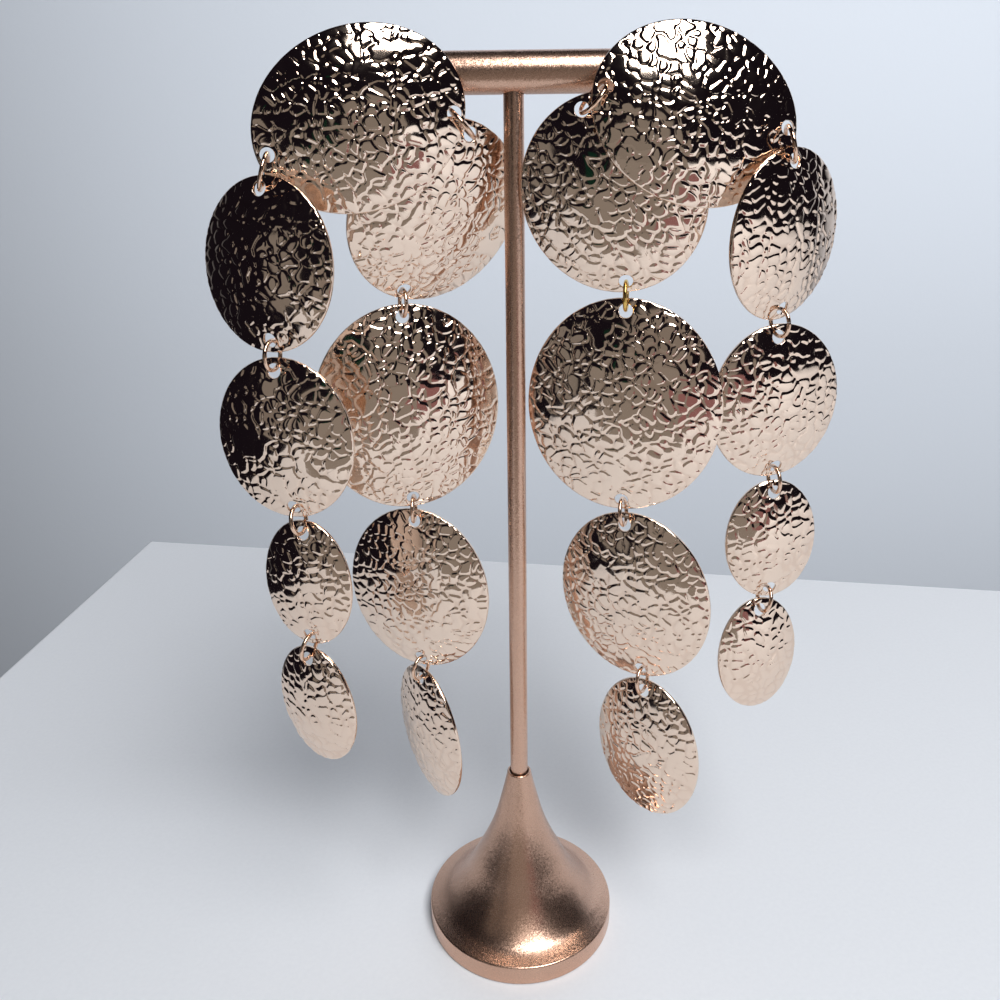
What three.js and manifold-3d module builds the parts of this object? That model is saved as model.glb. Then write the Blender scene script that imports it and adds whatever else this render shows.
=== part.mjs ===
// A pair of chandelier earrings, each a top disc with two strands of domed oval discs on jump rings,
// hung on a plain T-bar display stand. Millimetres, +Z up. The origin is the middle of the underside
// of the stand's base, and the front of the earrings faces -Y.
import * as THREE from 'three';
import { mergeVertices } from 'three/addons/utils/BufferGeometryUtils.js';
import Module from 'manifold-3d';

// Stand
const BASE_DIAMETER = 43.6;
const BASE_BAND_HEIGHT = 4.7;
const BASE_EDGE = 0.5;
const BASE_HEIGHT = 40.3;
const COLLAR_DIAMETER = 5.5;
const COLLAR_EDGE = 0.35;
const SOCKET_DEPTH = 14;
const POST_DIAMETER = 4;
const BAR_HEIGHT = 196.9;
const BAR_DIAMETER = 8.2;
const BAR_LENGTH = 80;
const BAR_EDGE = 0.7;
const POST_IN_BAR = 3;

// Earrings
const SHEET = 0.8;
const CROWN_SHARE = 0.17;
const HOLE_DIAMETER = 2.8;
const HOLE_INSET = 2.5;
const TOP_HOLE_INSET = 2.2;
const RING_INNER_DIAMETER = 4.8;
const RING_WIRE = 0.85;
const HOLE_SPACING = 6;
const TOP_RING_INNER_DIAMETER = 6;
const TOP_HOLE_SPACING = 6.3;
const CLIP_WIDTH = 5;
const CLIP_THICKNESS = 1;
const CLIP_BACK_LENGTH = 13;
const CLIP_FRONT_LENGTH = 10.5;
const CLIP_BOSS_DIAMETER = 3;
const BOSS_GAP = 0.75;

// Clearances
const GAP = 0.3;

const STAND_SIDES = 40;
const POST_SIDES = 20;
const BORE_SIDES = 12;
const RING_SIDES = 14;
const WIRE_SIDES = 6;
const BEND_STEPS = 10;
const SMALL_DISC = 30;
const LARGE_DISC = 34.2;

// Where each top disc sits: x, how far its rim is ahead of the bar and its middle below the bar's, how
// far its long axis is turned from upright, how far its face is tipped and yawed, and the bearing of
// its two holes from the upper end of the long axis.
const topDiscs = {
  left: {
    long: 40.6, short: 33.5, x: -28.7, ahead: 3.9, drop: 8.2,
    turn: -69, tip: -1, yaw: 8, inner: 18, outer: 182,
  },
  right: {
    long: 40.6, short: 33.5, x: 33.8, ahead: 2.9, drop: 8,
    turn: 68, tip: -9, yaw: 8, inner: -5, outer: 167,
  },
};

// Each row is one hanging disc, from the top down. Long and short are its oval, yaw turns it about
// the upright, lean swings it sideways in its own plane and tip swings its lower end forward (-).
// Ring_x and ring_y say how far the jump ring above it slants to the right and to the back. Foot is
// the bearing of the lower hole where it isn't straight across from the upper one, and ring_turn
// twists that jump ring about the line between its two holes.
const strands = {
  left_inner: [
    { long: 39.4, short: 35.6, yaw: 24, lean: -19, tip: 18, ring_x: 0.43, ring_y: 0.65 },
    { long: 45.5, short: 40, yaw: 13, lean: 1, tip: 0, ring_x: -0.1, ring_y: 0.12 },
    { long: 39.5, short: 33.5, yaw: -19, lean: 0, tip: 1, ring_x: 0.02, ring_y: 0.1 },
    { long: 34, short: 25, yaw: -53, lean: 3, tip: 3, ring_x: -0.04, ring_y: 0.05 },
  ],
  left_outer: [
    { long: 33.2, short: 28.6, yaw: -23, lean: 3, tip: -5, ring_x: -0.22, ring_y: -0.3, ring_turn: 12 },
    { long: 33, short: 28.3, yaw: -14, lean: 4, tip: 0, ring_x: 0.04, ring_y: 0 },
    { long: 27.8, short: 19.8, yaw: -20, lean: 0, tip: 0, ring_x: 0.22, ring_y: 0.03 },
    { long: 27.4, short: 19.2, yaw: -28, lean: 5, tip: 2, ring_x: -0.16, ring_y: 0.05 },
  ],
  right_inner: [
    {
      long: 39.4, short: 35.6, yaw: -9, lean: 21, tip: 5, foot: 192,
      ring_x: -0.64, ring_y: 0.42, ring_turn: 13,
    },
    { long: 45.5, short: 40, yaw: -13, lean: 0, tip: 0, ring_x: 0.02, ring_y: 0.02 },
    { long: 39.5, short: 33.5, yaw: -26, lean: 7, tip: 2, ring_x: 0.15, ring_y: 0.04 },
    { long: 34, short: 25.5, yaw: -38, lean: 4, tip: 0, ring_x: 0.12, ring_y: 0.02 },
  ],
  right_outer: [
    { long: 34, short: 28.8, yaw: 32, lean: 3, tip: 4, ring_x: 0.19, ring_y: -0.31, ring_turn: -24 },
    { long: 33.6, short: 28.6, yaw: 14, lean: 4, tip: 3, ring_x: -0.02, ring_y: 0.06 },
    { long: 27.4, short: 20.2, yaw: 8, lean: 1, tip: 0, ring_x: 0.05, ring_y: 0 },
    { long: 27.6, short: 19, yaw: 15, lean: 2, tip: 0, ring_x: -0.26, ring_y: 0.08 },
  ],
};

const roseSatin = new THREE.MeshStandardMaterial({ color: '#c49a88', metalness: 1, roughness: 0.42 });
const champagnePlate = new THREE.MeshStandardMaterial({ color: '#e4c9b4', metalness: 1, roughness: 0.08 });
const ringPlate = new THREE.MeshStandardMaterial({ color: '#dcb795', metalness: 1, roughness: 0.15 });

const wasm = await Module();
wasm.setup();

// A closed three.js geometry as a solid that can be joined and cut
function solidOf(geometry) {
  const bare = geometry.clone();
  bare.deleteAttribute('normal');
  bare.deleteAttribute('uv');
  const merged = mergeVertices(bare, 1e-5);
  const index = merged.index.array;
  const kept = [];
  for (let i = 0; i < index.length; i += 3) {
    const [a, b, c] = [index[i], index[i + 1], index[i + 2]];
    if (a !== b && b !== c && c !== a) kept.push(a, b, c);
  }
  return new wasm.Manifold(new wasm.Mesh({
    numProp: 3,
    vertProperties: new Float32Array(merged.attributes.position.array),
    triVerts: new Uint32Array(kept),
  }));
}

// The solid's faces as a three.js geometry
function geometryOf(solid) {
  const mesh = solid.getMesh();
  const geometry = new THREE.BufferGeometry();
  geometry.setAttribute('position', new THREE.BufferAttribute(new Float32Array(mesh.vertProperties), 3));
  geometry.setIndex(new THREE.BufferAttribute(new Uint32Array(mesh.triVerts), 1));
  geometry.computeVertexNormals();
  return geometry;
}

function piece(name, geometry, material) {
  const mesh = new THREE.Mesh(geometry, material);
  mesh.name = name;
  return mesh;
}

// A turned solid about +Z from [radius, height] pairs that start and end on the axis
function turned(profile, sides) {
  const geometry = new THREE.LatheGeometry(profile.map(([r, z]) => new THREE.Vector2(r, z)), sides);
  geometry.rotateX(Math.PI / 2);
  return geometryOf(solidOf(geometry));
}

// The base's section, from its rim up to its collar, as [share of the radius, share of the height]
const FLARE_SECTION = [
  [1, 0], [0.79, 0.05], [0.565, 0.195], [0.39, 0.37], [0.26, 0.515], [0.155, 0.665], [0.055, 0.87], [0, 1],
];
const FLARE_STEPS = 14;

// Stand: a flared foot with an upright band, a socket for the post, and the bar across its top
function flareProfile() {
  const outer = BASE_DIAMETER / 2;
  const socket = POST_DIAMETER / 2 + GAP;
  const neck = COLLAR_DIAMETER / 2;
  const shoulder = outer - BASE_EDGE;
  const neckHeight = BASE_HEIGHT - COLLAR_EDGE;
  const flare = new THREE.SplineCurve(FLARE_SECTION.map(([across, up]) => new THREE.Vector2(
    neck + (shoulder - neck) * across,
    BASE_BAND_HEIGHT + (neckHeight - BASE_BAND_HEIGHT) * up,
  )));
  return [[0, 0], [shoulder, 0], [outer, BASE_EDGE], [outer, BASE_BAND_HEIGHT - BASE_EDGE],
    ...flare.getPoints(FLARE_STEPS).map((point) => point.toArray()),
    [neck - COLLAR_EDGE, BASE_HEIGHT], [socket, BASE_HEIGHT],
    [socket, BASE_HEIGHT - SOCKET_DEPTH], [0, BASE_HEIGHT - SOCKET_DEPTH]];
}

function standPieces() {
  const base = piece('stand_base', turned(flareProfile(), STAND_SIDES), roseSatin);

  const postRadius = POST_DIAMETER / 2;
  const postFoot = BASE_HEIGHT - SOCKET_DEPTH + GAP;
  const postTop = BAR_HEIGHT - BAR_DIAMETER / 2 + POST_IN_BAR;
  const postProfile = [[0, postFoot], [postRadius, postFoot], [postRadius, postTop], [0, postTop]];
  const post = piece('stand_post', turned(postProfile, POST_SIDES), roseSatin);

  const half = BAR_LENGTH / 2;
  const radius = BAR_DIAMETER / 2;
  const barProfile = [[0, -half], [radius - BAR_EDGE, -half], [radius, BAR_EDGE - half],
    [radius, half - BAR_EDGE], [radius - BAR_EDGE, half], [0, half]];
  const bar = turned(barProfile, STAND_SIDES).rotateY(Math.PI / 2);
  const bore = turned([[0, -radius - 1], [postRadius + GAP, -radius - 1],
    [postRadius + GAP, POST_IN_BAR + GAP - radius], [0, POST_IN_BAR + GAP - radius]], POST_SIDES);
  const barMesh = piece('stand_bar', geometryOf(solidOf(bar).subtract(solidOf(bore))), roseSatin);
  barMesh.position.set(0, 0, BAR_HEIGHT);
  return [base, post, barMesh];
}

// An oval's radius along a bearing from the upper end of its long axis
function ovalRadius(long, short, bearing) {
  return 1 / Math.hypot(Math.cos(bearing) / (long / 2), Math.sin(bearing) / (short / 2));
}

// How far the front of the dome stands out at a share of the way from its middle to its edge
function domeHeight(long, share) {
  return CROWN_SHARE * (long / 2) * (1 - share * share);
}

// The middle of a hole, in the disc's own place: x right, y back, z up the long axis
function holePoint({ long, short }, bearing, inset) {
  const edge = ovalRadius(long, short, bearing);
  const reach = edge - inset;
  const depth = SHEET / 2 - domeHeight(long, reach / edge);
  return new THREE.Vector3(reach * Math.sin(bearing), depth, reach * Math.cos(bearing));
}

// A stamped disc: a domed oval sheet with its rim in the plane y = 0, bulging to the front
function discGeometry(row, holes) {
  const { long, short } = row;
  const steps = long < SMALL_DISC ? 3 : 4;
  const sides = long < LARGE_DISC ? 24 : 28;
  const profile = [];
  for (let i = 0; i <= steps; i += 1) {
    profile.push(new THREE.Vector2(i / steps, domeHeight(long, i / steps)));
  }
  for (let i = steps; i >= 0; i -= 1) {
    profile.push(new THREE.Vector2(i / steps, domeHeight(long, i / steps) - SHEET));
  }
  const sheet = new THREE.LatheGeometry(profile.reverse(), sides);
  sheet.scale(short / 2, 1, long / 2);
  sheet.rotateX(Math.PI);
  let solid = solidOf(sheet);
  for (const hole of holes) {
    const punch = new THREE.CylinderGeometry(HOLE_DIAMETER / 2, HOLE_DIAMETER / 2, long, BORE_SIDES);
    punch.translate(hole.x, 0, hole.z);
    solid = solid.subtract(solidOf(punch));
  }
  return geometryOf(solid);
}

const radians = THREE.MathUtils.degToRad;

// Turns a disc: lean in its own plane first, then tip, then yaw about the upright
function discTurn({ yaw = 0, lean = 0, tip = 0 }) {
  const angles = new THREE.Euler(radians(tip), -radians(lean), radians(yaw), 'ZXY');
  return new THREE.Quaternion().setFromEuler(angles);
}

function placedDisc(name, row, holes, turn, middle) {
  const disc = piece(name, discGeometry(row, holes), champagnePlate);
  disc.quaternion.copy(turn);
  disc.position.copy(middle);
  return disc;
}

// A jump ring through two holes: its middle is halfway between them, and it stands square to the sheets
function jumpRing(name, innerDiameter, upperHole, lowerHole, facing, twist) {
  const wireMiddle = (innerDiameter + RING_WIRE) / 2;
  const wire = new THREE.TorusGeometry(wireMiddle, RING_WIRE / 2, WIRE_SIDES, RING_SIDES);
  const ring = piece(name, wire, ringPlate);
  const along = upperHole.clone().sub(lowerHole).normalize();
  const axis = along.clone().cross(facing).normalize();
  const across = along.clone().cross(axis);
  ring.quaternion.setFromRotationMatrix(new THREE.Matrix4().makeBasis(across, along, axis));
  ring.rotateY(radians(twist));
  ring.position.copy(upperHole).add(lowerHole).multiplyScalar(0.5);
  return ring;
}

const FRONT = new THREE.Vector3(0, -1, 0);

// Hangs one strand's discs below a hole of the top disc
function strandPieces(name, rows, topHole, topFacing) {
  const pieces = [];
  let hole = topHole;
  let facing = topFacing;
  rows.forEach((row, i) => {
    const first = i === 0;
    const spacing = first ? TOP_HOLE_SPACING : HOLE_SPACING;
    const innerDiameter = first ? TOP_RING_INNER_DIAMETER : RING_INNER_DIAMETER;
    const down = -Math.sqrt(1 - row.ring_x ** 2 - row.ring_y ** 2);
    const slant = new THREE.Vector3(row.ring_x, row.ring_y, down);
    const lowerHole = slant.multiplyScalar(spacing).add(hole);
    const turn = discTurn(row);
    const ownHoles = [holePoint(row, 0, HOLE_INSET)];
    if (i < rows.length - 1) ownHoles.push(holePoint(row, radians(row.foot ?? 180), HOLE_INSET));
    const middle = lowerHole.clone().sub(ownHoles[0].clone().applyQuaternion(turn));
    const ownFacing = FRONT.clone().applyQuaternion(turn);
    const ringFacing = facing.clone().add(ownFacing);
    const ringTurn = row.ring_turn ?? 0;
    pieces.push(jumpRing(`${name}_ring_${i + 1}`, innerDiameter, hole, lowerHole, ringFacing, ringTurn));
    pieces.push(placedDisc(`${name}_disc_${i + 2}`, row, ownHoles, turn, middle));
    if (ownHoles[1]) hole = ownHoles[1].clone().applyQuaternion(turn).add(middle);
    facing = ownFacing;
  });
  return pieces;
}

// The clip behind a top disc: a bent strip over the bar, with a boss that reaches the back of the disc
function earClip(name, top, middle) {
  const inside = BAR_DIAMETER / 2 + GAP;
  const outside = inside + CLIP_THICKNESS;
  const strip = new THREE.Shape();
  strip.moveTo(-outside, -CLIP_FRONT_LENGTH);
  strip.lineTo(-outside, 0);
  strip.absarc(0, 0, outside, Math.PI, 0, true);
  strip.lineTo(outside, -CLIP_BACK_LENGTH);
  strip.lineTo(inside, -CLIP_BACK_LENGTH);
  strip.lineTo(inside, 0);
  strip.absarc(0, 0, inside, 0, Math.PI, false);
  strip.lineTo(-inside, -CLIP_FRONT_LENGTH);
  const width = { depth: CLIP_WIDTH, bevelEnabled: false, curveSegments: BEND_STEPS };
  const bent = new THREE.ExtrudeGeometry(strip, width);
  bent.translate(0, 0, -CLIP_WIDTH / 2);
  bent.applyMatrix4(new THREE.Matrix4().makeBasis(
    new THREE.Vector3(0, 1, 0), new THREE.Vector3(0, 0, 1), new THREE.Vector3(1, 0, 0)));
  const discBack = middle.y - domeHeight(top.long, 0) + SHEET;
  const bossEnd = discBack + BOSS_GAP;
  const bossStart = -inside - CLIP_THICKNESS / 2;
  const bossRadius = CLIP_BOSS_DIAMETER / 2;
  const boss = new THREE.CylinderGeometry(bossRadius, bossRadius, bossStart - bossEnd, BORE_SIDES);
  boss.translate(0, (bossStart + bossEnd) / 2, middle.z - BAR_HEIGHT);
  const clip = piece(name, geometryOf(solidOf(bent).add(solidOf(boss))), ringPlate);
  clip.position.set(middle.x, 0, BAR_HEIGHT);
  return clip;
}

function earring(side) {
  const top = topDiscs[side];
  const group = new THREE.Group();
  const turn = discTurn({ lean: top.turn, tip: top.tip, yaw: top.yaw });
  const middle = new THREE.Vector3(top.x, -BAR_DIAMETER / 2 - top.ahead, BAR_HEIGHT - top.drop);
  const holes = {
    inner: holePoint(top, radians(top.inner), TOP_HOLE_INSET),
    outer: holePoint(top, radians(top.outer), TOP_HOLE_INSET),
  };
  const facing = FRONT.clone().applyQuaternion(turn);
  group.add(placedDisc(`${side}_top_disc`, top, [holes.inner, holes.outer], turn, middle));
  group.add(earClip(`${side}_ear_clip`, top, middle));
  for (const strand of ['inner', 'outer']) {
    const start = holes[strand].clone().applyQuaternion(turn).add(middle);
    group.add(...strandPieces(`${side}_${strand}`, strands[`${side}_${strand}`], start, facing));
  }
  return group;
}

const model = new THREE.Group();
model.add(...standPieces(), earring('left'), earring('right'));

export default model;
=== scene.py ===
import math

import bpy
import numpy as np
from mathutils import Matrix, Vector
from mathutils.geometry import convex_hull_2d, delaunay_2d_cdt


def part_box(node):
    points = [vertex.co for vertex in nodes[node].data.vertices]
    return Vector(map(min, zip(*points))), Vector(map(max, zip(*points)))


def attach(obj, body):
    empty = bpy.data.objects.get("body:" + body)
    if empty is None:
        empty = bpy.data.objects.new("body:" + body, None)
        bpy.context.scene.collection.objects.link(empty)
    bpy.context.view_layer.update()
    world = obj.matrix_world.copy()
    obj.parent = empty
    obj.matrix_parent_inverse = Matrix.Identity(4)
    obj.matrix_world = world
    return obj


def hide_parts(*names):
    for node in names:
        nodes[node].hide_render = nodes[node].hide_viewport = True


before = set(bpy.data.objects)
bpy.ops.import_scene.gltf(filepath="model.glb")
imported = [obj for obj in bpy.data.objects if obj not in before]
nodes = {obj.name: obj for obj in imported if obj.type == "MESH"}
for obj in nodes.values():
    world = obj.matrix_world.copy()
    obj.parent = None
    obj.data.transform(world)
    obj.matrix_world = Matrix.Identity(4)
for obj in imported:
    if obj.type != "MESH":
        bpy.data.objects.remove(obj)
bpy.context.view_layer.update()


# ---- Foot of the stand ----
# One solid aluminium turning: a cone that flares out to an upright band, bored at its top for the post.
# It is bead blasted and anodised rose gold, which leaves an even satin skin; its edges are only broken.
def linear(code):
    """An sRGB hex colour as linear RGBA: c/12.92 in the toe, ((c + 0.055)/1.055) to the power 2.4 above it."""
    shares = np.array([int(code[i : i + 2], 16) / 255 for i in (1, 3, 5)])
    curve = np.where(shares <= 0.04045, shares / 12.92, ((shares + 0.055) / 1.055) ** 2.4)
    return (*curve.tolist(), 1.0)


def add(tree, kind, settings, links):
    """Adds one node. A setting or a link goes on the socket of that name or number, any other setting on the node."""
    node = tree.nodes.new(kind)
    for name, value in settings.items():
        if isinstance(name, str) and node.inputs.get(name) is None:
            setattr(node, name, value)
    for name, value in settings.items():
        if not isinstance(name, str) or node.inputs.get(name) is not None:
            node.inputs[name].default_value = value
    for name, source in links.items():
        tree.links.new(source, node.inputs[name])
    return node


def new_material(name):
    """An empty material, its node tree and its Object coordinates."""
    material = bpy.data.materials.new(name)
    material.use_nodes = True
    material.node_tree.nodes.clear()
    place = add(material.node_tree, "ShaderNodeTexCoord", {}, {}).outputs["Object"]
    return material, material.node_tree, place


def make_mesh(name, points, faces, sharp=38):
    """Points in mm and faces become a mesh in metres, smooth except where two faces meet at more than sharp degrees."""
    mesh = bpy.data.meshes.new(name)
    mesh.from_pydata(np.asarray(points, float) * 0.001, [], faces)
    mesh.shade_smooth()
    mesh.set_sharp_from_angle(angle=math.radians(sharp))
    return mesh


def make_piece(name, mesh, slot, *materials):
    """The mesh as a piece that rides on the frame and stands for the CAD node of the same name."""
    piece = bpy.data.objects.new(name + "_finished", mesh)
    bpy.context.scene.collection.objects.link(piece)
    for material in materials:
        mesh.materials.append(material)
    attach(piece, "root")
    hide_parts(name)


def corner(middle, radius, start, end, steps=6):
    """A rounded edge in a profile: places at radius from middle, from the start to the end angle in degrees."""
    angle = np.radians(np.linspace(start, end, steps + 1))
    return np.stack([middle[0] + radius * np.cos(angle), middle[1] + radius * np.sin(angle)], 1)


def turned(profile, sides):
    """A lathe shape about Z from (radius, height) pairs that start and end on the axis: x = r cos t, y = r sin t."""
    radius, height = np.asarray(profile, float).T
    turn = np.arange(sides) * 2 * math.pi / sides
    ring = slice(1, len(radius) - 1)
    x = radius[ring, None] * np.cos(turn)
    y = radius[ring, None] * np.sin(turn)
    z = np.repeat(height[ring, None], sides, 1)
    points = np.vstack([np.stack([x, y, z], -1).reshape(-1, 3), [[0, 0, height[0]], [0, 0, height[-1]]]])
    index = np.arange(x.size).reshape(x.shape)
    after = np.roll(index, -1, 1)
    quads = np.stack([index[:-1], after[:-1], after[1:], index[1:]], -1).reshape(-1, 4)
    first = np.stack([after[0], index[0], np.full(sides, x.size)], -1)
    last = np.stack([index[-1], after[-1], np.full(sides, x.size + 1)], -1)
    return points, quads.tolist() + first.tolist() + last.tolist()


# Bead-blasted aluminium, anodised rose gold. The blasted pits spread a reflection into a soft satin band,
# and single facets flash as a fine sparkle. Pits of about 0.1 mm are drawn 0.2 mm wide so that they show.
satin_rose, tree, place = new_material("aluminium_bead_blasted_anodised_rose_gold")
pits = add(tree, "ShaderNodeTexNoise", {"Scale": 5200, "Detail": 2, "Roughness": 0.6}, {"Vector": place})
flash = add(tree, "ShaderNodeTexVoronoi", {"Scale": 4600, "feature": "F1"}, {"Vector": place})
gloss = add(
    tree,
    "ShaderNodeMapRange",
    {"From Min": 0.3, "From Max": 0.7, "To Min": 0.22, "To Max": 0.34},
    {"Value": pits.outputs["Fac"]},
)
cloud = add(tree, "ShaderNodeTexNoise", {"Scale": 90, "Detail": 3}, {"Vector": place})
dye = add(
    tree,
    "ShaderNodeMix",
    {"data_type": "RGBA", 6: linear("#CDA690"), 7: linear("#D3AF9A")},
    {0: cloud.outputs["Fac"]},
)
pitted = add(tree, "ShaderNodeBump", {"Strength": 0.4, "Distance": 0.00002}, {"Height": pits.outputs["Fac"]})
centred = add(tree, "ShaderNodeVectorMath", {"operation": "SUBTRACT", 1: (0.5, 0.5, 0.5)}, {0: flash.outputs["Color"]})
tipped = add(tree, "ShaderNodeVectorMath", {"operation": "SCALE", "Scale": 0.09}, {0: centred.outputs["Vector"]})
facets = add(
    tree, "ShaderNodeVectorMath", {"operation": "ADD"}, {0: pitted.outputs["Normal"], 1: tipped.outputs["Vector"]}
)
sparkling = add(tree, "ShaderNodeVectorMath", {"operation": "NORMALIZE"}, {0: facets.outputs["Vector"]})
skin = add(
    tree,
    "ShaderNodeBsdfPrincipled",
    {"Metallic": 1.0},
    {"Base Color": dye.outputs[2], "Roughness": gloss.outputs["Result"], "Normal": sparkling.outputs["Vector"]},
)
add(tree, "ShaderNodeOutputMaterial", {}, {"Surface": skin.outputs["BSDF"]})

# Sizes are in mm. The flare's stations are shares of the way in from collar to band and up from band to collar.
BASE_RADIUS = 21.8
BASE_HEIGHT = 40.3
BAND_HEIGHT = 4.7
BAND_EDGE = 0.5
COLLAR_RADIUS = 2.75
COLLAR_EDGE = 0.35
BORE_RADIUS = 2.3
BORE_BOTTOM = 26.3
FOOT_SIDES = 180
FLARE = [(1, 0), (0.79, 0.05), (0.565, 0.195), (0.39, 0.37), (0.26, 0.515), (0.155, 0.665), (0.055, 0.87), (0, 1)]


def smooth_curve(stations, steps):
    """A Catmull-Rom curve: between two stations the place is a cubic, and its slope at each station is half the step
    between that station's neighbours."""
    stations = np.asarray(stations, float)
    along = np.linspace(0, len(stations) - 1, steps)
    low = np.minimum(along.astype(int), len(stations) - 2)
    t = (along - low)[:, None]
    p0, p1 = stations[np.maximum(low - 1, 0)], stations[low]
    p2, p3 = stations[low + 1], stations[np.minimum(low + 2, len(stations) - 1)]
    slope_1, slope_2 = (p2 - p0) / 2, (p3 - p1) / 2
    return (
        (2 * p1 - 2 * p2 + slope_1 + slope_2) * t**3
        + (-3 * p1 + 3 * p2 - 2 * slope_1 - slope_2) * t**2
        + slope_1 * t
        + p1
    )


shoulder, neck_height = BASE_RADIUS - BAND_EDGE, BASE_HEIGHT - COLLAR_EDGE
flare = smooth_curve(FLARE, 70) * [shoulder - COLLAR_RADIUS, neck_height - BAND_HEIGHT] + [COLLAR_RADIUS, BAND_HEIGHT]
foot_profile = np.vstack(
    [
        [(0, 0), (18, 0), (shoulder - 0.1, 0)],
        corner((shoulder, BAND_EDGE), BAND_EDGE, -90, 0),
        [(BASE_RADIUS, 0.6), (BASE_RADIUS, BAND_HEIGHT - 0.6)],
        corner((shoulder, BAND_HEIGHT - BAND_EDGE), BAND_EDGE, 0, 85),
        flare[1:-1],
        corner((COLLAR_RADIUS - COLLAR_EDGE, neck_height), COLLAR_EDGE, 0, 90),
        [(BORE_RADIUS, BASE_HEIGHT), (BORE_RADIUS, BORE_BOTTOM), (0, BORE_BOTTOM)],
    ]
)
make_piece("stand_base", make_mesh("stand_base", *turned(foot_profile, FOOT_SIDES)), "rose_satin_metal", satin_rose)


# ---- Post ----
# A drawn aluminium rod, blasted and anodised with the foot and pushed down into its bore.
# Its top end enters the bar from below.
POST_RADIUS = 2.0
POST_EDGE = 0.2
POST_SIDES = 96
post_low, post_high = (end.z * 1000 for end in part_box("stand_post"))
post_profile = np.vstack(
    [
        [(0, post_low)],
        corner((POST_RADIUS - POST_EDGE, post_low + POST_EDGE), POST_EDGE, -90, 0, 3),
        np.stack([np.full(24, POST_RADIUS), np.linspace(post_low + 1, post_high - 1, 24)], 1),
        corner((POST_RADIUS - POST_EDGE, post_high - POST_EDGE), POST_EDGE, 0, 90, 3),
        [(0, post_high)],
    ]
)
make_piece("stand_post", make_mesh("stand_post", *turned(post_profile, POST_SIDES)), "rose_satin_metal", satin_rose)


# ---- Bar ----
# A turned aluminium bar across the top of the post, in the same satin finish. Its ends are flat with
# rounded edges, and a hole bored into its underside takes the post.
BAR_RADIUS = 4.1
BAR_HALF = 40.0
BAR_EDGE = 0.7
BAR_SIDES = 120
UNDER_BAR = 180
POST_CLEARANCE = 0.3
bar_height = (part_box("stand_bar")[0].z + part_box("stand_bar")[1].z) * 500


def combined(name, mesh, tool, operation):
    """The first mesh with the second one cut away or joined on, as Blender's exact Boolean works it out."""
    body, other = bpy.data.objects.new(name, mesh), bpy.data.objects.new(name + "_tool", tool)
    for item in (body, other):
        bpy.context.scene.collection.objects.link(item)
    step = body.modifiers.new("join", "BOOLEAN")
    step.operation, step.object, step.solver = operation, other, "EXACT"
    shaped = body.evaluated_get(bpy.context.evaluated_depsgraph_get())
    result = bpy.data.meshes.new_from_object(shaped)
    bpy.data.objects.remove(body)
    bpy.data.objects.remove(other)
    result.shade_smooth()
    result.set_sharp_from_angle(angle=math.radians(38))
    return result


half_profile = np.vstack(
    [
        [(0, 0), (BAR_RADIUS - BAR_EDGE - 0.1, 0)],
        corner((BAR_RADIUS - BAR_EDGE, BAR_EDGE), BAR_EDGE, -90, 0),
        np.stack([np.full(12, BAR_RADIUS), np.linspace(1, BAR_HALF, 12)], 1),
    ]
)
other_half = half_profile[:-1][::-1] * [1, -1] + [0, 2 * BAR_HALF]
bar_points, bar_faces = turned(np.vstack([half_profile, other_half]), BAR_SIDES)
bar_points = bar_points[:, [2, 0, 1]] + [-BAR_HALF, 0, bar_height]
bore_top = post_high + POST_CLEARANCE
bore = [(0, UNDER_BAR), (BORE_RADIUS, UNDER_BAR), (BORE_RADIUS, bore_top), (0, bore_top)]
bar = combined("stand_bar", make_mesh("bar", bar_points, bar_faces), make_mesh("bore", *turned(bore, 48)), "DIFFERENCE")
make_piece("stand_bar", bar, "rose_satin_metal", satin_rose)


# ---- Domed discs ----
# Oval blanks of 0.8 mm brass sheet, pressed into shallow domes with a pebbled, hammered front, and
# pierced near both ends for the jump rings. They are polished and plated champagne rose gold.
# Sizes are in mm: FINE and COARSE are the front's and the back's mesh steps, PEBBLE is the mean spacing of the
# pebbles, and SOFTEN is how far their corners are rounded.
SHEET = 0.8
CROWN_SHARE = 0.17
HOLE_RADIUS = 1.4
HOLE_SIDES = 40
RIM_EDGE = 0.26
RIM_STEP = 0.26
HOLE_EDGE = 0.14
BACK_EDGE = 0.14
FINE = 0.212
COARSE = 1.1
ROW_SHARE = 0.8660254
OUTLINE_SHRINK = 0.04
PEBBLE = 2.1
PEBBLE_LIFT = 0.03
GROOVE_DEPTH = 0.17
GROOVE_HALF = 0.21
SHOULDER_HALF = 0.55
SHOULDER_SHARE = 0.14
EDGE_RELIEF = 0.45
SOFTEN = 0.26
PICKS = 64

# Brass sheet, polished and plated. A mirror in champagne, with faint haze where it was wiped, and a
# little darker down in the grooves, the more so the deeper they run.
plated, tree, place = new_material("brass_polished_plated_champagne_rose_gold")
haze = add(tree, "ShaderNodeTexNoise", {"Scale": 140, "Detail": 4, "Roughness": 0.6}, {"Vector": place})
gloss = add(
    tree,
    "ShaderNodeMapRange",
    {"From Min": 0.35, "From Max": 0.75, "To Min": 0.055, "To Max": 0.13},
    {"Value": haze.outputs["Fac"]},
)
tone = add(tree, "ShaderNodeTexNoise", {"Scale": 38, "Detail": 2}, {"Vector": place})
wash = add(
    tree,
    "ShaderNodeMix",
    {"data_type": "RGBA", 6: linear("#F2DECC"), 7: linear("#EFD7C4")},
    {0: tone.outputs["Fac"]},
)
groove = add(tree, "ShaderNodeAttribute", {"attribute_name": "groove"}, {})
# The colour goes a little darker, towards #B98E74, in step with the groove depth.
groove_darkening = add(
    tree, "ShaderNodeMath", {"operation": "MULTIPLY", 1: 0.16, "use_clamp": True}, {0: groove.outputs["Fac"]}
)
shaded = add(
    tree,
    "ShaderNodeMix",
    {"data_type": "RGBA", 7: linear("#B98E74")},
    {0: groove_darkening.outputs["Value"], 6: wash.outputs[2]},
)
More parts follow.
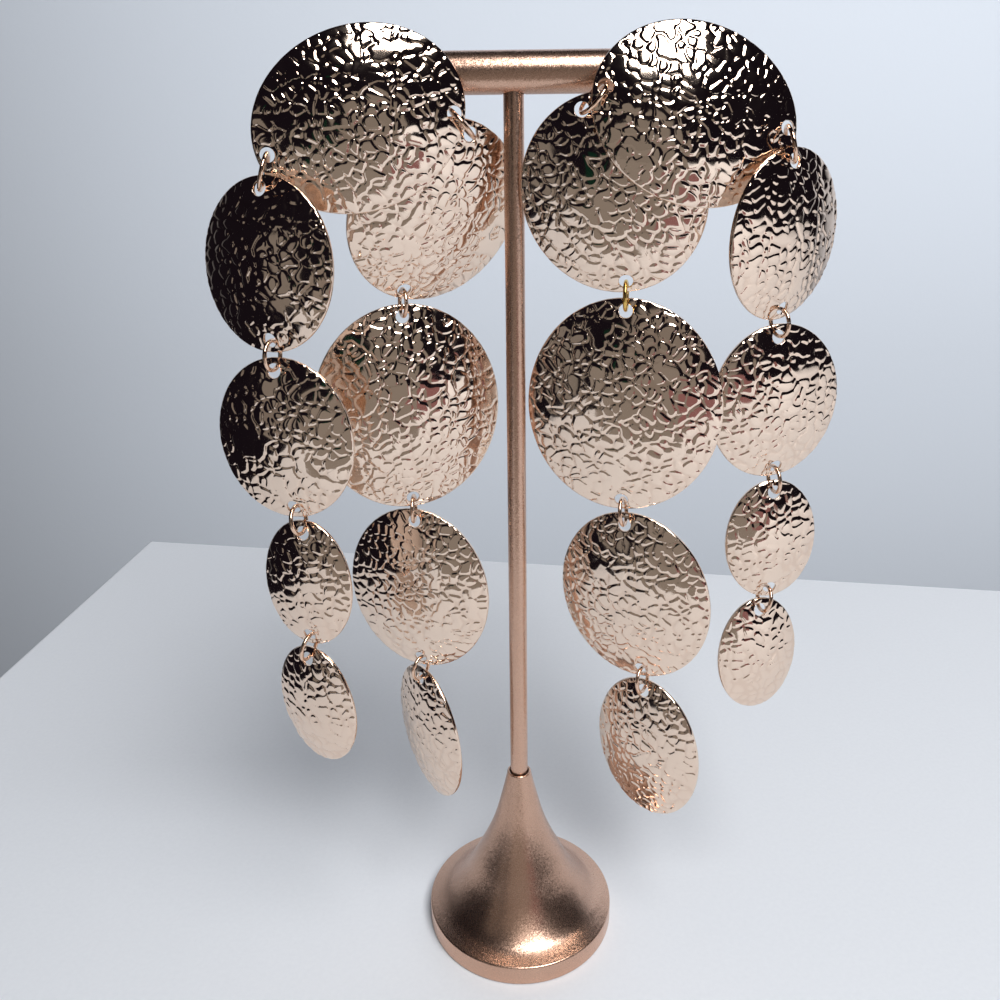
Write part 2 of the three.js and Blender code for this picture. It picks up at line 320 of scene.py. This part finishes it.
peel = add(tree, "ShaderNodeTexNoise", {"Scale": 1500, "Detail": 2}, {"Vector": place})
rippled = add(
    tree,
    "ShaderNodeBump",
    {"Strength": 0.25, "Distance": 0.000006},
    {"Height": peel.outputs["Fac"]},
)
skin = add(
    tree,
    "ShaderNodeBsdfPrincipled",
    {"Metallic": 1.0},
    {"Base Color": shaded.outputs[2], "Roughness": gloss.outputs["Result"], "Normal": rippled.outputs["Normal"]},
)
add(tree, "ShaderNodeOutputMaterial", {}, {"Surface": skin.outputs["BSDF"]})

# The back of the sheet, plated but less polished. The punched pebbles show through as soft dents,
# which are too low to model and are drawn as a bump at the same 2.1 mm spacing.
plated_back, tree, place = new_material("brass_plated_champagne_rose_gold_back")
dents = add(
    tree,
    "ShaderNodeTexVoronoi",
    {"Scale": 1000 / PEBBLE, "feature": "SMOOTH_F1", "Smoothness": 0.4},
    {"Vector": place},
)
show_through = add(
    tree,
    "ShaderNodeBump",
    {"Strength": 0.5, "Distance": 0.00012},
    {"Height": dents.outputs["Distance"]},
)
haze = add(tree, "ShaderNodeTexNoise", {"Scale": 170, "Detail": 4}, {"Vector": place})
gloss = add(
    tree,
    "ShaderNodeMapRange",
    {"From Min": 0.3, "From Max": 0.7, "To Min": 0.14, "To Max": 0.26},
    {"Value": haze.outputs["Fac"]},
)
wash = add(
    tree,
    "ShaderNodeMix",
    {"data_type": "RGBA", 6: linear("#EFD8C5"), 7: linear("#E9CDB8")},
    {0: haze.outputs["Fac"]},
)
skin = add(
    tree,
    "ShaderNodeBsdfPrincipled",
    {"Metallic": 1.0},
    {"Base Color": wash.outputs[2], "Roughness": gloss.outputs["Result"], "Normal": show_through.outputs["Normal"]},
)
add(tree, "ShaderNodeOutputMaterial", {}, {"Surface": skin.outputs["BSDF"]})


def corners_of(node):
    """The distinct corners of a CAD node, in mm."""
    flat = np.empty(len(nodes[node].data.vertices) * 3)
    nodes[node].data.vertices.foreach_get("co", flat)
    return np.unique(np.round(flat.reshape(-1, 3) * 1000, 4), axis=0)


def main_axes(points):
    """The mean of some points, their spread along their three main axes, widest first, and those axes as rows."""
    middle = points.mean(0)
    spread, axes = np.linalg.eigh(np.cov((points - middle).T, bias=True))
    return middle, spread[::-1], axes.T[::-1]


def disc_frame(node):
    """Where a disc lies: the middle of its front rim, its axes (long, short, out of the dome) and its half lengths.
    The conic that fits the hull of its corners best tells the rim from the rest. The rim's corners lie evenly round
    an oval, so each half length is the root of twice their spread."""
    points = corners_of(node)
    middle, _, axes = main_axes(points)
    flat = ((points - middle) @ axes.T)[:, :2]
    u, v = flat[convex_hull_2d(flat.tolist())].T
    a, b, c, d, e = np.linalg.lstsq(np.stack([u * u, u * v, v * v, u, v], 1), np.ones(len(u)), rcond=None)[0]
    form = np.array([[a, b / 2], [b / 2, c]])
    centre = -np.linalg.solve(form, [d, e]) / 2
    away = flat - centre
    reach = np.sqrt(np.einsum("ni,ij,nj->n", away, form, away) / (1 + centre @ form @ centre))
    dome = points.mean(0)
    middle, spread, axes = main_axes(points[reach > 0.985])
    out = axes[2] * np.sign((dome - middle) @ axes[2])
    axes = np.array([axes[0], np.cross(out, axes[0]), out])
    return middle + out * SHEET / 2, axes, np.sqrt(2 * spread[0]), np.sqrt(2 * spread[1]), points


def hole_centres(points, middle, axes, half_long, half_short):
    """The centre of the circle that fits the corners of each pierced hole best, one at either end of the long axis."""
    flat = (points - middle) @ axes.T
    reach = np.hypot(flat[:, 0] / half_long, flat[:, 1] / half_short)
    near = (reach < 0.975) & (reach > (0.757 if half_long > 15 else 0.69))
    centres = []
    for end in (-1, 1):
        x, y = flat[near & (flat[:, 0] * end > 0), :2].T
        if len(x) > 5:
            fit = np.linalg.lstsq(np.stack([x, y, np.ones(len(x))], 1), x**2 + y**2, rcond=None)[0]
            centres.append(fit[:2] / 2)
    return centres


def pebbles(u, v, seed):
    """How deep the grooves run, 0 to 1, and how high each pebble stands off level, -1 to 1, at places u, v in mm.
    A shaken lattice holds one centre for each pebble. A place belongs to the centre with the least distance over that
    pebble's own size, so borders are arcs. The distances to all borders are joined into one by the log of a sum of
    exponentials, which rounds the pebbles' corners; a random number for each pair of pebbles weakens some borders or
    drops them. The groove is a narrow bell curve of that distance plus a wide faint one, and the level is each
    centre's random plane, blended by nearness."""
    pick = np.random.default_rng(seed)
    square = (PICKS, PICKS)
    shake, size, mark = pick.random((*square, 2)), 0.62 + 0.72 * pick.random(square), pick.random(square)
    lean = pick.normal(0, 1, (*square, 2))
    for wave in (2.9, 4.3, 6.7):
        turn, phase, other = pick.random(3) * 2 * math.pi
        across = (u * math.cos(turn) + v * math.sin(turn)) * 2 * math.pi / wave
        u, v = u + 0.045 * wave * np.sin(across + phase), v + 0.045 * wave * np.sin(across + other)
    column, row = np.floor(u / PEBBLE).astype(int), np.floor(v / PEBBLE).astype(int)
    neighbours = []
    for step_x in range(-2, 3):
        for step_y in range(-2, 3):
            i, j = column + step_x, row + step_y
            at = (i % PICKS, j % PICKS)
            du = u - (i + 0.5 * (j & 1) + 0.16 + 0.68 * shake[at][:, 0]) * PEBBLE
            dv = v - (j + 0.16 + 0.68 * shake[at][:, 1]) * PEBBLE
            away = np.hypot(du, dv) + 1e-9
            neighbours.append((away / size[at], du / away / size[at], dv / away / size[at], mark[at], away, lean[at]))
    pull = np.array([n[0] for n in neighbours])
    own = pull.argmin(0)
    here = np.arange(len(u))
    field = [np.array([n[k] for n in neighbours]) for k in (1, 2, 3)]
    uo, vo, mo = (values[own, here] for values in field)
    total = np.zeros(len(u)) + 1e-12
    for k, (f, un, vn, mn, _, _) in enumerate(neighbours):
        border = (f - pull[own, here]) / (np.hypot(un - uo, vn - vo) + 1e-6)
        chance = (mn + mo + 0.618 * np.abs(mn - mo)) % 1
        strength = np.clip((chance - 0.14) / 0.4, 0, 1)
        total += np.where(own == k, 0, strength * np.exp(-border / SOFTEN))
    border = np.maximum(-SOFTEN * np.log(total), 0)
    narrow, wide = np.exp(-((border / GROOVE_HALF) ** 2)), np.exp(-((border / SHOULDER_HALF) ** 2))
    depth = (1 - SHOULDER_SHARE) * narrow + SHOULDER_SHARE * wide
    near = np.exp(-6 * (pull / PEBBLE) ** 2)
    planes = np.array([tip[:, 0] * un * away + tip[:, 1] * vn * away for _, un, vn, _, away, tip in neighbours])
    level = (near * planes).sum(0) / near.sum(0)
    return depth, level


def round_grid(half_long, half_short, step, holes, hole_radius, inset):
    """A triangular lattice of places inside an oval and outside its holes, all half a step clear of the outlines."""
    rows = int(half_short / step / ROW_SHARE) + 2
    columns = int(half_long / step) + 2
    j, i = np.mgrid[-rows : rows + 1, -columns : columns + 1]
    u, v = ((i + 0.5 * (j & 1)) * step).ravel(), (j * step * ROW_SHARE).ravel()
    reach = np.hypot(u / half_long, v / half_short)
    room = (1 - reach) * np.hypot(u, v) / np.maximum(reach, 1e-6)
    clear = room > inset + 0.5 * step
    for centre in holes:
        clear &= np.hypot(u - centre[0], v - centre[1]) > hole_radius + 0.5 * step
    return np.stack([u[clear], v[clear]], 1)


def fill(loops, inside):
    """Triangles, facing up, between closed loops and the places inside them. No triangle spans a hole loop."""
    places = np.vstack([*loops, inside])
    starts = np.cumsum([0] + [len(loop) for loop in loops])
    edges = np.vstack(
        [
            np.stack([np.arange(len(loop)), (np.arange(len(loop)) + 1) % len(loop)], 1) + start
            for loop, start in zip(loops, starts)
        ]
    )
    found = delaunay_2d_cdt([Vector(p) for p in places.tolist()], edges.tolist(), [], 0, 1e-7, False)
    faces = np.array(found[2])
    for start, end in zip(starts[1:-1], starts[2:]):
        faces = faces[~((faces >= start) & (faces < end)).all(1)]
    a, b, c = (places[faces[:, k]] for k in range(3))
    turned_over = np.cross(b - a, c - a) < 0
    faces[turned_over] = faces[turned_over][:, ::-1]
    return places, faces


def disc_mesh(name, seed):
    """A domed oval sheet: height = crown (1 - reach squared), less the pebble grooves on the front, and the same
    dome 0.8 mm lower on the back. Quarter rounds turn the front over the rim and into each hole."""
    middle, axes, half_long, half_short, points = disc_frame(name)
    half_long, half_short = half_long - OUTLINE_SHRINK, half_short - OUTLINE_SHRINK
    holes = hole_centres(points, middle, axes, half_long, half_short)
    crown = CROWN_SHARE * half_long

    def front(u, v, fade=1.0):
        depth, level = pebbles(u, v, seed)
        dome = crown * (1 - (u / half_long) ** 2 - (v / half_short) ** 2)
        return dome - fade * GROOVE_DEPTH * depth + fade * PEBBLE_LIFT * (level + 0.35), depth * fade

    def back(u, v):
        return crown * (1 - (u / half_long) ** 2 - (v / half_short) ** 2) - SHEET

    around = int(2 * math.pi * math.sqrt(half_long * half_short) / RIM_STEP)
    turn = np.arange(around) * 2 * math.pi / around
    cosine, sine = np.cos(turn), np.sin(turn)
    outward = np.stack([half_short * cosine, half_long * sine], 1)
    outward /= np.linalg.norm(outward, axis=1)[:, None]
    rim = np.stack([half_long * cosine, half_short * sine], 1)
    hole_turn = -np.arange(HOLE_SIDES) * 2 * math.pi / HOLE_SIDES
    spoke = np.stack([np.cos(hole_turn), np.sin(hole_turn)], 1)

    borders = [(rim, outward, RIM_EDGE)] + [(centre + spoke * HOLE_RADIUS, -spoke, HOLE_EDGE) for centre in holes]
    rolls = []
    for outline, away, edge in borders:
        rows = []
        for angle in np.radians([0, 30, 60, 90]):
            place = outline - away * edge * (1 - math.sin(angle))
            height, depth = front(place[:, 0], place[:, 1], 1.0 if angle < 1 else EDGE_RELIEF)
            rows.append((place, height - edge * (1 - math.cos(angle)), depth))
        for angle in np.radians([90, 45, 0]):
            place = outline - away * BACK_EDGE * (1 - math.sin(angle))
            height = back(place[:, 0], place[:, 1]) + BACK_EDGE * (1 - math.cos(angle))
            rows.append((place, height, np.zeros(len(place))))
        rolls.append(rows)

    inside = round_grid(half_long, half_short, FINE, holes, HOLE_RADIUS + HOLE_EDGE, RIM_EDGE)
    places, faces = fill([rows[0][0] for rows in rolls], inside)
    height, depth = front(inside[:, 0], inside[:, 1])
    height = np.concatenate([rows[0][1] for rows in rolls] + [height])
    depth = np.concatenate([rows[0][2] for rows in rolls] + [depth])
    parts, shares, front_faces, count = [np.column_stack([places, height])], [depth], faces, len(places)

    inside = round_grid(half_long, half_short, COARSE, holes, HOLE_RADIUS + BACK_EDGE, BACK_EDGE)
    places, faces = fill([rows[-1][0] for rows in rolls], inside)
    parts.append(np.column_stack([places, back(places[:, 0], places[:, 1])]))
    shares.append(np.zeros(len(places)))
    back_start, back_faces = count, faces[:, ::-1] + count
    count += len(places)

    walls, offset = [], 0
    for rows in rolls:
        size = len(rows[0][0])
        between = [np.column_stack([row[0], row[1]]) for row in rows[1:-1]]
        index = np.vstack(
            [
                np.arange(size) + offset,
                np.arange(size * len(between)).reshape(len(between), size) + count,
                np.arange(size) + back_start + offset,
            ]
        )
        after = np.roll(index, -1, 1)
        walls.append(np.stack([index[:-1], index[1:], after[1:], after[:-1]], -1).reshape(-1, 4))
        parts.extend(between)
        shares.extend(row[2] for row in rows[1:-1])
        offset += size
        count += size * len(between)

    flat = np.vstack(parts)
    mesh = make_mesh(
        name,
        middle + flat @ axes,
        front_faces.tolist() + back_faces.tolist() + np.vstack(walls).tolist(),
        sharp=62,
    )
    groove_depth = mesh.attributes.new("groove", "FLOAT", "POINT")
    groove_depth.data.foreach_set("value", np.concatenate(shares).astype(np.float32))
    first = len(front_faces)
    side = np.zeros(len(mesh.polygons), np.int32)
    side[first : first + len(back_faces)] = 1
    mesh.polygons.foreach_set("material_index", side)
    return mesh


DISCS = [f"{side}_top_disc" for side in ("left", "right")] + [
    f"{side}_{strand}_disc_{number}"
    for side in ("left", "right")
    for strand in ("inner", "outer")
    for number in (2, 3, 4, 5)
]
for number, name in enumerate(DISCS):
    make_piece(name, disc_mesh(name, 11 + 7 * number), "champagne_plate", plated, plated_back)


# ---- Jump rings ----
# Rings of 0.85 mm round brass wire, closed with pliers so that the two cut ends meet in a fine butt seam.
# They are plated pale rose gold; one replacement ring is yellower, and the lowest right one stands a little open.
WIRE_SEAM = 0.05
OPEN_GAP = 0.5
WIRE_STEPS = 72
WIRE_SIDES = 12

# Drawn brass wire, plated. It mirrors its surroundings in narrow streaks, with dull spots where pliers gripped it.
ring_plated, tree, place = new_material("brass_wire_polished_plated_pale_rose_gold")
grip = add(tree, "ShaderNodeTexNoise", {"Scale": 700, "Detail": 3}, {"Vector": place})
gloss = add(
    tree,
    "ShaderNodeMapRange",
    {"From Min": 0.45, "From Max": 0.75, "To Min": 0.09, "To Max": 0.3},
    {"Value": grip.outputs["Fac"]},
)
dragged = add(tree, "ShaderNodeBump", {"Strength": 0.3, "Distance": 0.00001}, {"Height": grip.outputs["Fac"]})
skin = add(
    tree,
    "ShaderNodeBsdfPrincipled",
    {"Metallic": 1.0, "Base Color": linear("#E9C7AE")},
    {"Roughness": gloss.outputs["Result"], "Normal": dragged.outputs["Normal"]},
)
add(tree, "ShaderNodeOutputMaterial", {}, {"Surface": skin.outputs["BSDF"]})

# The same wire plated in yellow gold, which the eye picks out among the rose ones.
ring_yellow = ring_plated.copy()
ring_yellow.name = "brass_wire_polished_plated_yellow_gold"
yellow_skin = next(node for node in ring_yellow.node_tree.nodes if node.type == "BSDF_PRINCIPLED")
yellow_skin.inputs["Base Color"].default_value = linear("#DDB766")


def wire_ring(middle, axes, radius, wire, gap, seam_turn):
    """A bent wire: its centre line is a circle of that radius about the third axis, open by gap mm, and its section
    a circle of the wire's radius. The two cut ends are flat."""
    half_gap = gap / 2 / radius
    bend = np.linspace(half_gap, 2 * math.pi - half_gap, WIRE_STEPS + 1)[:, None] + seam_turn
    section = np.arange(WIRE_SIDES)[None, :] * 2 * math.pi / WIRE_SIDES
    reach = radius + wire * np.cos(section)
    grid = np.stack([reach * np.cos(bend), reach * np.sin(bend), wire * np.sin(section) + 0 * bend], -1)
    ends = np.stack([radius * np.cos(bend[[0, -1], 0]), radius * np.sin(bend[[0, -1], 0]), [0, 0]], -1)
    index = np.arange((WIRE_STEPS + 1) * WIRE_SIDES).reshape(-1, WIRE_SIDES)
    after = np.roll(index, -1, 1)
    quads = np.stack([index[:-1], index[1:], after[1:], after[:-1]], -1).reshape(-1, 4)
    first = np.stack([index[0], after[0], np.full(WIRE_SIDES, index.size)], -1)
    last = np.stack([after[-1], index[-1], np.full(WIRE_SIDES, index.size + 1)], -1)
    points = middle + np.vstack([grid.reshape(-1, 3), ends]) @ axes
    return points, quads.tolist() + first.tolist() + last.tolist()


RINGS = [
    f"{side}_{strand}_ring_{number}"
    for side in ("left", "right")
    for strand in ("inner", "outer")
    for number in (1, 2, 3, 4)
]
for number, name in enumerate(RINGS):
    corners = corners_of(name)
    middle, _, axes = main_axes(corners)
    axes[1] = np.cross(axes[2], axes[0])
    flat = (corners - middle) @ axes.T
    radius = np.hypot(flat[:, 0], flat[:, 1]).mean()
    wire = math.sqrt(2 * (flat[:, 2] ** 2).mean())
    gap = OPEN_GAP if name == "right_outer_ring_4" else WIRE_SEAM
    points, faces = wire_ring(middle, axes, radius, wire, gap, 0.9 + 2.4 * number)
    metal = ring_yellow if name == "right_inner_ring_2" else ring_plated
    make_piece(name, make_mesh(name, points, faces), "ring_plate", metal)


# ---- Clips over the bar ----
# A strip of spring brass, 5 mm by 1 mm, bent over the bar behind each top disc, with a round boss
# soldered to its front arm that carries the disc. It is plated like the rings.
CLIP_WIDTH = 5.0
CLIP_THICKNESS = 1.0
CLIP_EDGE = 0.25
CLIP_BEND = 4.9
CLIP_FRONT = 10.5
CLIP_BACK = 13.0
BOSS_RADIUS = 1.5
BOSS_EDGE = 0.2
BOSS_SIDES = 48


def clip_strip():
    """A rounded rectangle carried along a U: up the front arm, round half a circle over the bar, down the back arm.
    The last rows at each end draw in along a quarter circle, so that the ends are rounded too."""
    end = np.radians([0, 30, 60, 90])
    up = np.concatenate([-CLIP_FRONT + CLIP_EDGE * (1 - np.sin(end)), np.linspace(-CLIP_FRONT + 0.6, -0.4, 6)])
    down = np.concatenate([np.linspace(-0.4, -CLIP_BACK + 0.6, 8), -CLIP_BACK + CLIP_EDGE * (1 - np.sin(end[::-1]))])
    bend = np.linspace(math.pi, 0, 33)
    y = np.concatenate([np.full(len(up), -CLIP_BEND), CLIP_BEND * np.cos(bend), np.full(len(down), CLIP_BEND)])
    z = np.concatenate([up[3::-1], up[4:], CLIP_BEND * np.sin(bend), down])
    z[:4] = -CLIP_FRONT + CLIP_EDGE * (1 - np.cos(end))
    z[-4:] = -CLIP_BACK + CLIP_EDGE * (1 - np.cos(end[::-1]))
    draw = np.zeros(len(z))
    draw[:4] = CLIP_EDGE * (1 - np.sin(end))
    draw[-4:] = CLIP_EDGE * (1 - np.sin(end[::-1]))
    out_y = np.concatenate([np.full(len(up), -1.0), np.cos(bend), np.full(len(down), 1.0)])
    out_z = np.concatenate([np.zeros(len(up)), np.sin(bend), np.zeros(len(down))])
    wide, thick = CLIP_WIDTH / 2 - CLIP_EDGE, CLIP_THICKNESS / 2 - CLIP_EDGE
    section = np.vstack(
        [
            corner((wide, thick), CLIP_EDGE, 0, 90, 3),
            corner((-wide, thick), CLIP_EDGE, 90, 180, 3),
            corner((-wide, -thick), CLIP_EDGE, 180, 270, 3),
            corner((wide, -thick), CLIP_EDGE, 270, 360, 3),
        ]
    )
    inner = np.sign(section) * [wide, thick]
    unit = (section - inner) / CLIP_EDGE
    across = inner[None] + unit[None] * (CLIP_EDGE - draw)[:, None, None]
    grid = np.stack(
        [
            across[..., 0],
            y[:, None] + out_y[:, None] * across[..., 1],
            z[:, None] + out_z[:, None] * across[..., 1],
        ],
        -1,
    )
    rows, count = grid.shape[:2]
    index = np.arange(rows * count).reshape(rows, count)
    after = np.roll(index, -1, 1)
    quads = np.stack([index[:-1], after[:-1], after[1:], index[1:]], -1).reshape(-1, 4)
    points = np.vstack([grid.reshape(-1, 3), grid[0].mean(0), grid[-1].mean(0)])
    first = np.stack([after[0], index[0], np.full(count, rows * count)], -1)
    last = np.stack([index[-1], after[-1], np.full(count, rows * count + 1)], -1)
    return points, quads.tolist() + first.tolist() + last.tolist()


for side in ("left", "right"):
    name = f"{side}_ear_clip"
    corners = corners_of(name)
    boss = corners[corners[:, 1] < -5.6]
    boss_x, boss_z = boss[:, 0].mean(), boss[:, 2].mean()
    boss_length = -CLIP_BEND - boss[:, 1].min()
    boss_profile = np.vstack(
        [
            [(0, 0), (BOSS_RADIUS, 0)],
            corner((BOSS_RADIUS - BOSS_EDGE, boss_length - BOSS_EDGE), BOSS_EDGE, 0, 90, 4),
            [(0, boss_length)],
        ]
    )
    points, faces = turned(boss_profile, BOSS_SIDES)
    boss_mesh = make_mesh("boss", points[:, [0, 2, 1]] * [1, -1, 1] + [boss_x, -CLIP_BEND, boss_z], faces)
    points, faces = clip_strip()
    strip_mesh = make_mesh("strip", points + [boss_x, 0, bar_height], faces)
    make_piece(name, combined(name, strip_mesh, boss_mesh, "UNION"), "ring_plate", ring_plated)


# ---- Table and wall ----
# The stage: a matt white laminate table whose back and left edges show, in front of a pale painted wall.
table_paint, tree, place = new_material("laminate_matt_white")
speck = add(tree, "ShaderNodeTexNoise", {"Scale": 900, "Detail": 3}, {"Vector": place})
grain = add(tree, "ShaderNodeBump", {"Strength": 0.12, "Distance": 0.0002}, {"Height": speck.outputs["Fac"]})
tint = add(
    tree,
    "ShaderNodeMix",
    {"data_type": "RGBA", 6: linear("#E3E6EB"), 7: linear("#EAEDF1")},
    {0: speck.outputs["Fac"]},
)
skin = add(
    tree,
    "ShaderNodeBsdfPrincipled",
    {"Roughness": 0.62, "Specular IOR Level": 0.3},
    {"Base Color": tint.outputs[2], "Normal": grain.outputs["Normal"]},
)
add(tree, "ShaderNodeOutputMaterial", {}, {"Surface": skin.outputs["BSDF"]})

wall_paint, tree, place = new_material("emulsion_paint_pale_grey")
roller = add(tree, "ShaderNodeTexNoise", {"Scale": 260, "Detail": 4}, {"Vector": place})
nap = add(tree, "ShaderNodeBump", {"Strength": 0.15, "Distance": 0.0004}, {"Height": roller.outputs["Fac"]})
skin = add(
    tree,
    "ShaderNodeBsdfPrincipled",
    {"Roughness": 0.85, "Base Color": linear("#D2D7DD")},
    {"Normal": nap.outputs["Normal"]},
)
add(tree, "ShaderNodeOutputMaterial", {}, {"Surface": skin.outputs["BSDF"]})


def stage_sheet(name, corners, thickness, edge, material):
    """A flat slab from the corners of its top, thickness mm deep, its edges rounded by a Bevel modifier."""
    top = np.asarray(corners, float)
    below = top - [0, 0, thickness]
    n = len(top)
    sides = [(k, k + n, (k + 1) % n + n, (k + 1) % n) for k in range(n)]
    mesh = make_mesh(name, np.vstack([top, below]), [tuple(range(n)), tuple(range(2 * n - 1, n - 1, -1)), *sides], 30)
    slab = bpy.data.objects.new(name, mesh)
    bpy.context.scene.collection.objects.link(slab)
    mesh.materials.append(material)
    rounded = slab.modifiers.new("rounded", "BEVEL")
    rounded.width, rounded.segments = edge, 4


# The table's back left corner and the unit directions of the two edges that meet there, in mm.
TABLE_LENGTH = 1500
TABLE_DEPTH = 1100
TABLE_THICKNESS = 22
table_corner = np.array([-161, 211, 0])
back_edge = np.array([354, -55, 0]) / 358.2 * TABLE_LENGTH
left_edge = np.array([-17, -106, 0]) / 107.4 * TABLE_DEPTH
stage_sheet(
    "table",
    [
        table_corner,
        table_corner + left_edge,
        table_corner + left_edge + back_edge,
        table_corner + back_edge,
    ],
    TABLE_THICKNESS,
    0.0015,
    table_paint,
)
stage_sheet("wall", [(-2200, 520, 700), (2200, 520, 700), (2200, 550, 700), (-2200, 550, 700)], 1500, 0.001, wall_paint)


# ---- Light ----
# A big soft white panel overhead and towards the viewer, in a dark room. Dim tinted boards stand where the room
# in front of the discs shows in their domes: warm grey in the middle, with a little green and pink beside it.
def panel(name, place, aim, size, colour, power):
    """A soft rectangular light at a place in metres, turned to face its aim."""
    lamp = bpy.data.lights.new(name, "AREA")
    lamp.shape, lamp.size, lamp.size_y = "RECTANGLE", *size
    lamp.color, lamp.energy = linear(colour)[:3], power
    stand = bpy.data.objects.new(name, lamp)
    turn = (Vector(place) - Vector(aim)).to_track_quat("Z", "Y")
    stand.matrix_world = Matrix.Translation(place) @ turn.to_matrix().to_4x4()
    bpy.context.scene.collection.objects.link(stand)
    stand.visible_camera = False
    return stand


panel("key", (0.36, -0.76, 1.15), (0.36, -0.76, 0), (0.6, 1.0), "#FFFFFF", 20)


def board(name, low, high, colour):
    """A dim upright sheet facing the discs, from its low to its high corner in mm. It shows only in reflections."""
    (x0, y, z0), (x1, _, z1) = low, high
    paint, tree, _ = new_material(name)
    glow = add(tree, "ShaderNodeEmission", {"Color": linear(colour), "Strength": 1.0}, {})
    add(tree, "ShaderNodeOutputMaterial", {}, {"Surface": glow.outputs["Emission"]})
    paint.cycles.emission_sampling = "NONE"
    mesh = make_mesh(name, [(x1, y, z0), (x0, y, z0), (x0, y, z1), (x1, y, z1)], [(0, 1, 2, 3)])
    mesh.materials.append(paint)
    sheet = bpy.data.objects.new(name, mesh)
    bpy.context.scene.collection.objects.link(sheet)
    sheet.visible_camera = sheet.visible_shadow = sheet.visible_diffuse = False


board("board_warm_grey", (-120, -205, 1), (80, -205, 150), "#8A8580")
board("board_warm_grey_top", (-30, -207, 150), (80, -207, 240), "#827D78")
board("board_left", (-330, -238, 40), (-185, -238, 240), "#7E7A76")
board("board_green", (-70, -204, 140), (-45, -204, 190), "#0F2A20")
board("board_pink", (62, -203, 45), (140, -203, 112), "#8C6668")

# Two weak cool lights that show in no reflection: one lifts the table's shadows, the other washes the wall.
for name, place, aim, size, power in [
    ("fill", (0.35, -0.6, 1.3), (0.2, -0.3, 0), (1.2, 1.2), 2.5),
    ("wall_wash", (0.65, 0.22, 0.42), (0.65, 0.52, 0.42), (2.0, 1.3), 6.5),
]:
    panel(name, place, aim, size, "#F4F8FF", power).visible_glossy = False

world = bpy.data.worlds.new("dark_room")
bpy.context.scene.world = world
world.use_nodes = True
world.node_tree.nodes["Background"].inputs["Color"].default_value = linear("#151118")
world.node_tree.nodes["Background"].inputs["Strength"].default_value = 1.0


# ---- Camera ----
# A wide phone lens close in front of the discs, level with the bar, tipped down and turned a little.
camera = bpy.data.cameras.new("camera")
camera.lens = camera.sensor_width = 36
camera.shift_y = -0.122
camera.clip_start, camera.clip_end = 0.01, 20
pitch, roll = math.radians(16.5), 0.013
right = Vector((1, 0, 0))
ahead = Vector((0, math.cos(pitch), -math.sin(pitch)))
down = Vector((0, -math.sin(pitch), -math.cos(pitch)))
camera_x = right * math.cos(roll) + down * math.sin(roll)
camera_y = right * math.sin(roll) - down * math.cos(roll)
eye = bpy.data.objects.new("camera", camera)
facing = Matrix((camera_x, camera_y, -ahead)).transposed().to_4x4()
eye.matrix_world = Matrix.Translation((-0.0033, -0.199, 0.1952)) @ facing
bpy.context.scene.collection.objects.link(eye)
bpy.context.scene.camera = eye
bpy.context.scene.view_settings.view_transform = "Standard"
